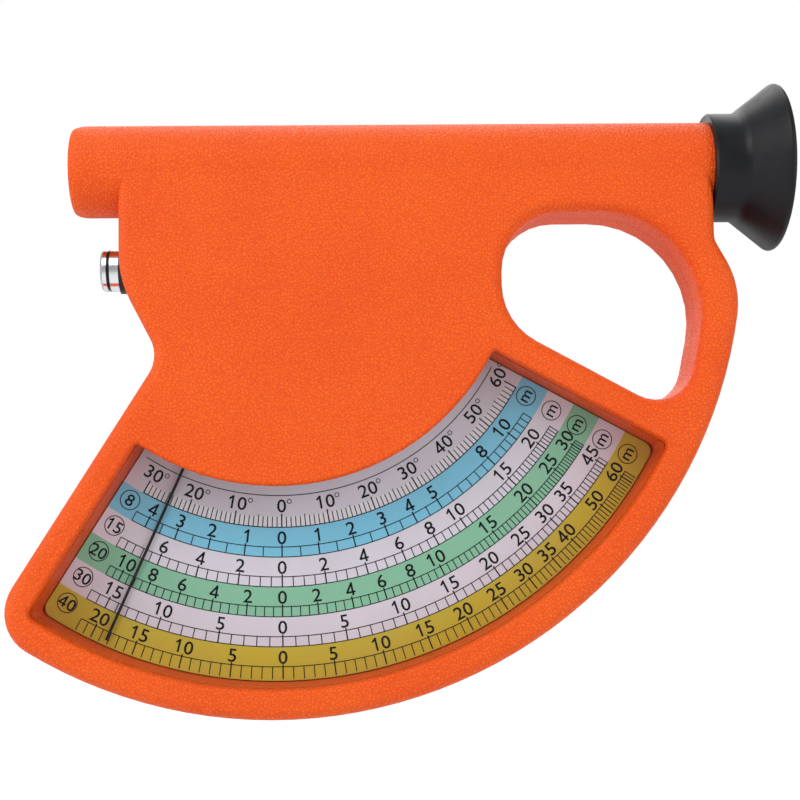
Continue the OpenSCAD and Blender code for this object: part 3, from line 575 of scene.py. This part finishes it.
cameraPlace = {
    "location": (0.015657, -0.352852, -0.061375),
    "degrees": (94.3089, 0.8802, -2.0389),
    "lens": 65.79,
    "sensor": 36,
    "near": 0.01,
}
lampPlaces = [
    {"name": "keyLamp", "location": (-0.3, -0.5, 0.5), "size": 0.5, "watts": 2.9, "colour": (1, 0.985, 0.96)},
    {"name": "fillLamp", "location": (0.7, -0.6, 0.1), "size": 0.8, "watts": 3.3, "colour": (0.97, 0.98, 1)},
    {"name": "sideLamp", "location": (-0.85, -0.22, 0.12), "size": 0.5, "watts": 3.0, "colour": (1, 1, 1)},
    {"name": "topLamp", "location": (0.05, 0.35, 0.8), "size": 0.6, "watts": 2.6, "colour": (1, 1, 1)},
    {"name": "backLamp", "location": (0.1, 0.9, 0.42), "size": 0.8, "watts": 3.0, "colour": (1, 1, 1)},
]
studio = {
    "lampAim": (0.02, -0.01, -0.04),
    "worldDiffuse": 0.5,            # light that the pale room gives to matt surfaces
    "worldShine": 0.32,             # its brightness in mirrors
    "floorZ": -0.3,
    "floorSize": 8.0,
    "floorColour": (0.8, 0.8, 0.8, 1),
    "floorRoughness": 0.9,
    "floorGlow": 0.62,              # what the camera sees
    "floorShine": 0.18,             # what mirrors see
}

deselectAll()
bpy.ops.object.camera_add(location=cameraPlace["location"],
                          rotation=[math.radians(angle) for angle in cameraPlace["degrees"]])
camera = bpy.context.object
camera.name = "viewCamera"
camera.data.lens = cameraPlace["lens"]
camera.data.sensor_width = cameraPlace["sensor"]
camera.data.clip_start = cameraPlace["near"]
bpy.context.scene.camera = camera

for lamp in lampPlaces:
    bpy.ops.object.light_add(type="AREA", location=lamp["location"])
    light = bpy.context.object
    light.name = lamp["name"]
    light.data.size = lamp["size"]
    light.data.energy = lamp["watts"]
    light.data.color = lamp["colour"]
    aim = Vector(studio["lampAim"]) - light.location
    light.rotation_euler = aim.to_track_quat("-Z", "Y").to_euler()

world = bpy.data.worlds.new("paleStudio")
bpy.context.scene.world = world
world.use_nodes = True
sky = world.node_tree
backdrop = sky.nodes["Background"]
backdrop.inputs["Color"].default_value = (1, 1, 1, 1)
rays = addNode(sky, "ShaderNodeLightPath")
seen = calc(sky, "MAXIMUM", rays.outputs["Is Camera Ray"], rays.outputs["Is Transmission Ray"])
shiny = calc(sky, "MULTIPLY", rays.outputs["Is Glossy Ray"], studio["worldShine"])
sky.links.new(calc(sky, "MAXIMUM", calc(sky, "MAXIMUM", seen, shiny), studio["worldDiffuse"]),
              backdrop.inputs["Strength"])


def makeFloorFinish():
    material, tree, shader = startMaterial("paleFloor")
    shader.inputs["Base Color"].default_value = studio["floorColour"]
    shader.inputs["Roughness"].default_value = studio["floorRoughness"]
    shader.inputs["Specular IOR Level"].default_value = 0.0
    glow = addNode(tree, "ShaderNodeEmission")
    rays = addNode(tree, "ShaderNodeLightPath")
    seen = calc(tree, "MAXIMUM", rays.outputs["Is Camera Ray"], rays.outputs["Is Transmission Ray"])
    shiny = calc(tree, "MULTIPLY", rays.outputs["Is Glossy Ray"], studio["floorShine"])
    tree.links.new(calc(tree, "MAXIMUM", calc(tree, "MULTIPLY", seen, studio["floorGlow"]), shiny),
                   glow.inputs["Strength"])
    both = addNode(tree, "ShaderNodeAddShader")
    tree.links.new(shader.outputs[0], both.inputs[0])
    tree.links.new(glow.outputs[0], both.inputs[1])
    tree.links.new(both.outputs[0], tree.nodes["Material Output"].inputs["Surface"])
    return material


deselectAll()
bpy.ops.mesh.primitive_plane_add(size=studio["floorSize"], location=(0, 0, studio["floorZ"]))
floor = bpy.context.object
floor.name = "paleFloorSheet"
bakePlace(floor)
floor.data.materials.append(makeFloorFinish())
scene = bpy.context.scene
scene.view_settings.view_transform = "Standard"
print("camera, lamps and floor placed")


# body, eyecup, button and optics: the solids' own forms, with smooth shading

dressed = {                        # "smooth" is the least angle that stays an edge, in degrees
    "front_shell": {"name": "frontMoulding", "body": "body", "slot": "body", "finish": "orange",
                    "smooth": 38},
    "rear_shell": {"name": "rearMoulding", "body": "body", "slot": "body", "finish": "orange",
                   "smooth": 38},
    "eyecup": {"name": "rubberEyecup", "body": "body", "slot": "eyecup", "finish": "rubber", "smooth": 40},
    "release_button": {"name": "chromeButton", "body": "button", "slot": "chrome", "finish": "chrome",
                       "smooth": 30},
    "button_bush": {"name": "nylonBush", "body": "body", "slot": "bush", "finish": "nylon", "smooth": 35},
    "sight_tube": {"name": "blackLiner", "body": "body", "slot": "liner", "finish": "anodised", "smooth": 35},
    "reticle_ring": {"name": "wireRing", "body": "body", "slot": "brass", "finish": "brass", "smooth": 35},
    "peep_disc": {"name": "peepPlate", "body": "body", "slot": "liner", "finish": "anodised", "smooth": 35},
    "peep_retainer": {"name": "peepRetainer", "body": "body", "slot": "liner", "finish": "anodised",
                      "smooth": 35},
}
for nodeName, look in dressed.items():
    piece = copyNode(nodeName, look["name"], look["smooth"])
    settle(piece, look["body"], look["slot"], finishes[look["finish"]], nodeName)
print("mouldings dressed:", len(dressed))


# the printed scales

scaleRows = [                      # radius of the base line in mm; distance, first, last and step in m
    {"base": 72, "away": 8, "first": -4.5, "last": 12, "step": 0.5,
     "marks": [4, 3, 2, 1, 0, 1, 2, 3, 4, 5, 8, 10]},
    {"base": 79, "away": 15, "first": -8.5, "last": 23, "step": 0.5,
     "marks": [6, 4, 2, 0, 2, 4, 6, 8, 10, 15, 20]},
    {"base": 86, "away": 20, "first": -11, "last": 31, "step": 0.5,
     "marks": [10, 8, 6, 4, 2, 0, 2, 4, 6, 8, 10, 15, 20, 25, 30]},
    {"base": 93, "away": 30, "first": -17, "last": 46, "step": 1,
     "marks": [15, 10, 5, 0, 5, 10, 15, 20, 25, 30, 35, 45]},
    {"base": 100, "away": 40, "first": -22, "last": 62, "step": 1,
     "marks": [20, 15, 10, 5, 0, 5, 10, 15, 20, 25, 30, 35, 40, 50, 60]},
]
dialPrint = {                      # mm and degrees
    "face": -4.5,                  # Y of the dial's face
    "lift": 0.03,                  # ink above the face
    "ink": 0.015,                  # thickness of the ink
    "degrees": (-30, 60),
    "degreeBase": 65.0,
    "degreeInner": (61.8, 62.1, 62.5),     # where the ticks of 10, 5 and 1 degrees begin
    "innerLine": (57.5, -33.5, 61.5),      # radius, from and to
    "boxDeep": 2.35,               # length of a tick
    "longDeep": 2.9,
    "lastLonger": 0.55,            # by so much the ticks of the last row pass its base line
    "thin": 0.23, "thick": 0.32,   # widths of ticks
    "arc": 0.22, "baseArc": 0.25,
    "arcStart": 0.1, "arcStep": 1.5, "arcLeast": 8,    # an arc is spun from a short piece, in such steps
    "figure": 3.05,                # height of the figures
    "figureFoot": 3.05,            # from the base line to the foot of a figure
    "figureWide": 1.08,            # share of the letter's own width
    "bolder": 0.035,               # each side of a stroke
    "bar": 0.1,                    # width of a straight stroke, as a share of the size
    "curve": 3,                    # steps in each bend of a figure
    "degreeFoot": 61.45,           # radius at the foot of the degree figures
    "degreeRing": 0.58, "degreeLine": 0.19,
    "degreeMark": (0.75, 0.5),     # right of the figure, and below its top
    "labelTurns": (-31.6, 59.5),
    "labelFoot": 3.9,              # from the base line to the middle of a label
    "labelShare": 0.9,             # of the height of the figures
    "numberDrop": 0.5, "letterDrop": 0.4,  # from the middle to the foot, shares of the height
    "ring": 2.4, "ringLine": 0.22,
    "ringPoints": 36,
    "near": 0.001,                 # m, a tick this close to a mark is a main one
}
inkY = (dialPrint["face"] - dialPrint["lift"]) * mm


def angleOf(row, metres):
    return math.degrees(math.atan(metres / row["away"]))


def signedMarks(row):
    zero = row["marks"].index(0)
    return [(-value if place < zero else value) for place, value in enumerate(row["marks"])]


def listTicks():                   # angle, inner radius, outer radius, width
    ticks = []
    firstDegree, lastDegree = dialPrint["degrees"]
    innerTen, innerFive, innerOne = dialPrint["degreeInner"]
    for degree in range(firstDegree, lastDegree + 1):
        inner = innerTen if degree % 10 == 0 else (innerFive if degree % 5 == 0 else innerOne)
        width = dialPrint["thick"] if degree % 10 == 0 else dialPrint["thin"]
        ticks.append((degree, inner, dialPrint["degreeBase"], width))
    for row in scaleRows:
        numbered = signedMarks(row)
        metres = row["first"]
        outer = row["base"] + (dialPrint["lastLonger"] if row is scaleRows[-1] else 0)
        while metres <= row["last"] + dialPrint["near"]:
            main = any(abs(metres - mark) < dialPrint["near"] for mark in numbered)
            deep = dialPrint["longDeep"] if main else dialPrint["boxDeep"]
            width = dialPrint["thick"] if main else dialPrint["thin"]
            ticks.append((angleOf(row, metres), row["base"] - deep, outer, width))
            metres += row["step"]
    return ticks


def addPatch(radius, degrees):     # a square of 1 mm that stands on the dial, ready to be stretched
    deselectAll()
    bpy.ops.mesh.primitive_plane_add(size=mm, location=onDial(radius * mm, degrees, inkY),
                                     rotation=(math.pi / 2, -math.radians(degrees), 0))
    return bpy.context.object


def standOnDial(piece, radius, degrees):
    piece.location = onDial(radius * mm, degrees, inkY)
    piece.rotation_euler = (math.pi / 2, -math.radians(degrees), 0)
    bakePlace(piece)


def drawTicks():
    ticks = []
    for degrees, inner, outer, width in listTicks():
        tick = addPatch((inner + outer) / 2, degrees)
        tick.scale = (width, outer - inner, 1)
        ticks.append(tick)
    ticks = joinPieces(ticks, "tickStrokes")
    bakePlace(ticks)
    return ticks


def drawArc(radius, fromDegrees, toDegrees, width):     # a short piece is spun round the axis
    arc = addPatch(radius, fromDegrees)
    arc.scale = (dialPrint["arcStart"], width, 1)
    bakePlace(arc)
    bpy.ops.object.mode_set(mode="EDIT")
    bpy.ops.mesh.select_all(action="DESELECT")
    edit = bmesh.from_edit_mesh(arc.data)
    start = math.radians(fromDegrees)
    for vertex in edit.verts:
        vertex.select = math.atan2(vertex.co.x, -vertex.co.z) > start
    edit.select_flush_mode()
    bmesh.update_edit_mesh(arc.data)
    swept = toDegrees - fromDegrees
    steps = max(dialPrint["arcLeast"], round(swept / dialPrint["arcStep"]))
    bpy.ops.mesh.spin(steps=steps, angle=math.radians(swept), center=(0, 0, 0), axis=(0, 1, 0))
    bpy.ops.object.mode_set(mode="OBJECT")
    return arc


def drawRing(radius, line, degrees, outer, alongX=0.0, alongY=0.0):
    deselectAll()
    bpy.ops.mesh.primitive_circle_add(vertices=dialPrint["ringPoints"], radius=outer * mm, fill_type="NGON",
                                      enter_editmode=True)
    bpy.ops.mesh.select_all(action="SELECT")
    bpy.ops.mesh.inset(thickness=line * mm)
    bpy.ops.mesh.delete(type="FACE")
    bpy.ops.object.mode_set(mode="OBJECT")
    ring = bpy.context.object
    ring.location = (alongX * mm, alongY * mm, 0)
    bakePlace(ring)
    standOnDial(ring, radius, degrees)
    return ring


straightFigures = {                # strokes of the figures drawn with bars, as shares of the size
    "1": [((0.26, 0.05), (0.26, 0.66)), ((0.26, 0.66), (0.12, 0.54))],
    "4": [((0.33, 0.05), (0.33, 0.66)), ((0.32, 0.65), (0.05, 0.21)), ((0.07, 0.19), (0.42, 0.19))],
}


def drawBar(size, foot, head, wide):
    alongX, alongY = head[0] - foot[0], head[1] - foot[1]
    middle = ((foot[0] + head[0]) / 2 * size, (foot[1] + head[1]) / 2 * size, 0)
    deselectAll()
    bpy.ops.mesh.primitive_plane_add(size=size, rotation=(0, 0, math.atan2(alongY, alongX)), location=middle)
    bar = bpy.context.object
    bar.scale = (math.hypot(alongX, alongY) + wide, wide, 1)
    bakePlace(bar)
    return bar


def drawWord(word, tall):          # flat, its foot on the X axis
    size = tall * mm / figureShare
    strokes = []
    for place, letter in enumerate(word):
        left = figureStep * place
        if letter in straightFigures:
            for foot, head in straightFigures[letter]:
                strokes.append(drawBar(size, (foot[0] + left, foot[1]), (head[0] + left, head[1]),
                                       dialPrint["bar"]))
            continue
        deselectAll()
        bpy.ops.object.text_add(location=(left * size, 0, 0))
        figure = bpy.context.object
        figure.data.body = letter
        figure.data.resolution_u = dialPrint["curve"]
        figure.data.size = size
        figure.data.offset = dialPrint["bolder"] * mm
        bpy.ops.object.convert(target="MESH")
        bakePlace(bpy.context.object)
        strokes.append(bpy.context.object)
    return joinPieces(strokes, "figure")


def drawFigure(word, radius, degrees, tall):    # gives the piece and its width in mm
    figure = drawWord(word, tall)
    low = min(vertex.co.x for vertex in figure.data.vertices)
    high = max(vertex.co.x for vertex in figure.data.vertices)
    figure.location = (-(low + high) / 2 * dialPrint["figureWide"], 0, 0)
    figure.scale = (dialPrint["figureWide"], 1, 1)
    bakePlace(figure)
    standOnDial(figure, radius, degrees)
    return figure, (high - low) * dialPrint["figureWide"] / mm


def measureFigure(word):           # width and height at size 1
    deselectAll()
    bpy.ops.object.text_add()
    bpy.context.object.data.body = word
    bpy.ops.object.convert(target="MESH")
    wide, tall, deep = bpy.context.object.dimensions
    bpy.ops.object.delete()
    return wide, tall


figureShare = measureFigure("0")[1]
figureStep = measureFigure("00")[0] - measureFigure("0")[0]
printed = [drawTicks()]
print("ticks drawn:", len(listTicks()))
printed.append(drawArc(*dialPrint["innerLine"], dialPrint["arc"]))
printed.append(drawArc(dialPrint["degreeBase"], *dialPrint["degrees"], dialPrint["baseArc"]))
for row in scaleRows:
    low, high = angleOf(row, row["first"]), angleOf(row, row["last"])
    printed.append(drawArc(row["base"] - dialPrint["boxDeep"], low, high, dialPrint["arc"]))
    if row is not scaleRows[-1]:
        printed.append(drawArc(row["base"], low, high, dialPrint["arc"]))

figures = []
firstDegree, lastDegree = dialPrint["degrees"]
markRight, markDown = dialPrint["degreeMark"]
for degree in range(firstDegree, lastDegree + 1, 10):
    figure, wide = drawFigure(str(abs(degree)), dialPrint["degreeFoot"], degree, dialPrint["figure"])
    figures.append(figure)
    figures.append(drawRing(dialPrint["degreeFoot"], dialPrint["degreeLine"], degree, dialPrint["degreeRing"],
                            alongX=wide / 2 + markRight, alongY=dialPrint["figure"] - markDown))
for row in scaleRows:
    for mark in signedMarks(row):
        foot = row["base"] - dialPrint["figureFoot"]
        figures.append(drawFigure(str(abs(mark)), foot, angleOf(row, mark), dialPrint["figure"])[0])
    for turn, word in zip(dialPrint["labelTurns"], (str(row["away"]), "m")):
        middle = row["base"] - dialPrint["labelFoot"]
        tall = dialPrint["figure"] * dialPrint["labelShare"]
        figures.append(drawRing(middle, dialPrint["ringLine"], turn, dialPrint["ring"]))
        drop = tall * dialPrint["letterDrop" if word == "m" else "numberDrop"]
        figures.append(drawFigure(word, middle + drop, turn, tall)[0])
print("figures drawn:", len(figures))


def pickFaces(piece, wanted):      # in edit mode, by the direction that a face looks to
    bpy.ops.mesh.select_all(action="DESELECT")
    edit = bmesh.from_edit_mesh(piece.data)
    edit.normal_update()
    for face in edit.faces:
        face.select = wanted(face.normal)
    bmesh.update_edit_mesh(piece.data)


def finishPrint(pieces, label):
    piece = joinPieces(pieces, label)
    bpy.ops.object.mode_set(mode="EDIT")
    pickFaces(piece, lambda normal: normal.y > 0)    # those that look away from the viewer are turned over
    bpy.ops.mesh.flip_normals()
    bpy.ops.object.mode_set(mode="OBJECT")
    ink = piece.modifiers.new("inkThickness", "SOLIDIFY")
    ink.thickness = dialPrint["ink"] * mm
    ink.offset = -1
    applyModifiers(piece)
    settle(piece, "body", "dial", finishes["ink"])
    return piece


finishPrint(printed, "dialTicks")
finishPrint(figures, "dialFigures")


# screws that close the body, with cross recesses

screwLook = {                      # mm and degrees
    "places": [(-22, 3.9), (25, 3.5), (45.5, 2.8), (96.8, 3.6)],    # X and Z
    "rimRadius": 104.3, "rimTurns": (-28, 12, 50),     # the others, counted from the pendulum's axis
    "firstTurn": 17, "nextTurn": 41,                   # of the crosses
    "head": 4.2, "headDeep": 1.6, "sink": 0.6, "shank": 2.2, "length": 13.0,
    "crossWide": 0.62, "crossLong": 2.5, "crossDeep": 0.9,
    "edge": 0.28, "edgeSteps": 3,
    "around": 48,                  # points round a head
    "smooth": 30,
}


def makeScrew(x, z, turn):
    look = screwLook
    top = -look["sink"] * mm
    middle = top - look["headDeep"] * mm / 2
    deselectAll()
    bpy.ops.mesh.primitive_cylinder_add(vertices=look["around"], radius=look["head"] / 2 * mm,
                                        depth=look["headDeep"] * mm, location=(x * mm, middle, z * mm),
                                        rotation=(math.pi / 2, 0, 0))
    screw = bpy.context.object
    bakePlace(screw)
    bpy.ops.object.mode_set(mode="EDIT")
    pickFaces(screw, lambda normal: normal.y > 0.9)     # the head's outer end
    bpy.ops.mesh.bevel(offset=look["edge"] * mm, segments=look["edgeSteps"], affect="EDGES")
    pickFaces(screw, lambda normal: normal.y < -0.9)    # its inner end, which grows into the shank
    bpy.ops.mesh.inset(thickness=(look["head"] - look["shank"]) / 2 * mm)
    bpy.ops.mesh.extrude_region_move(TRANSFORM_OT_translate={"value": (0, -look["length"] * mm, 0)})
    bpy.ops.object.mode_set(mode="OBJECT")
    cutters = []
    for quarter in (0, 1):
        deselectAll()
        bpy.ops.mesh.primitive_cube_add(size=mm, location=(x * mm, top, z * mm),
                                        rotation=(0, math.radians(turn + 90 * quarter), 0))
        cutter = bpy.context.object
        cutter.scale = (look["crossLong"], 2 * look["crossDeep"], look["crossWide"])
        bakePlace(cutter)
        cut = screw.modifiers.new("cross", "BOOLEAN")
        cut.operation, cut.solver, cut.object = "DIFFERENCE", "EXACT", cutter
        cutters.append(cutter)
    applyModifiers(screw)
    for cutter in cutters:
        bpy.data.objects.remove(cutter)
    return screw


screwSpots = list(screwLook["places"])
for degrees in screwLook["rimTurns"]:
    turn = math.radians(degrees)
    screwSpots.append((screwLook["rimRadius"] * math.sin(turn), -screwLook["rimRadius"] * math.cos(turn)))
screws = []
for number, (x, z) in enumerate(screwSpots):
    screws.append(makeScrew(x, z, screwLook["firstTurn"] + screwLook["nextTurn"] * number))
screws = joinPieces(screws, "crossScrews")
smoothShade(screws, screwLook["smooth"])
settle(screws, "body", "steel", finishes["steel"], "body_screws")
print("screws made:", len(screwSpots))


# springs: smooth copies of the coils, in steel, in place of the solids

springs = {                        # start and end in metres: the start is the end at the mover, the end the one at the body
    "button_spring": {"name": "buttonCoil", "mover": "button", "smooth": 40,
                      "start": (-0.0326, -0.0105, -0.0043), "end": (-0.0273, -0.0105, -0.0043)},
    "brake_spring": {"name": "brakeCoil", "mover": "lever", "smooth": 40,
                     "start": (-0.019, -0.0105, -0.0035), "end": (-0.0138, -0.0105, -0.0035)},
}
for nodeName, look in springs.items():
    coil = copyNode(nodeName, look["name"], look["smooth"])
    coil.data.materials.append(finishes["steel"])
    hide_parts(nodeName)
    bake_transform(coil)
print("springs made:", len(springs))


# the other solids keep their shape and get their finish

kept = {
    "window_pane": "pane", "dial_plate": "dial", "dial_screws": "steel", "cross_wires": "steel",
    "pendulum_shaft": "steel", "pendulum_hub": "brass", "brake_drum": "steel", "pendulum_arm": "aluminium",
    "pendulum_weight": "brass", "weight_rivets": "aluminium", "hairline": "paint", "front_bearing": "brass",
    "rear_bearing": "brass", "stop_sleeves": "rubber", "plunger": "steel", "plunger_clip": "steel",
    "brake_lever": "aluminium", "brake_pad": "lining", "lever_pin": "steel", "lever_clip": "steel",
}
for nodeName, finish in kept.items():
    node = nodes[nodeName]
    if not node.material_slots:
        node.data.materials.append(finishes[finish])
    for slot in node.material_slots:
        slot.material = finishes[finish]
print("solids finished:", len(kept))
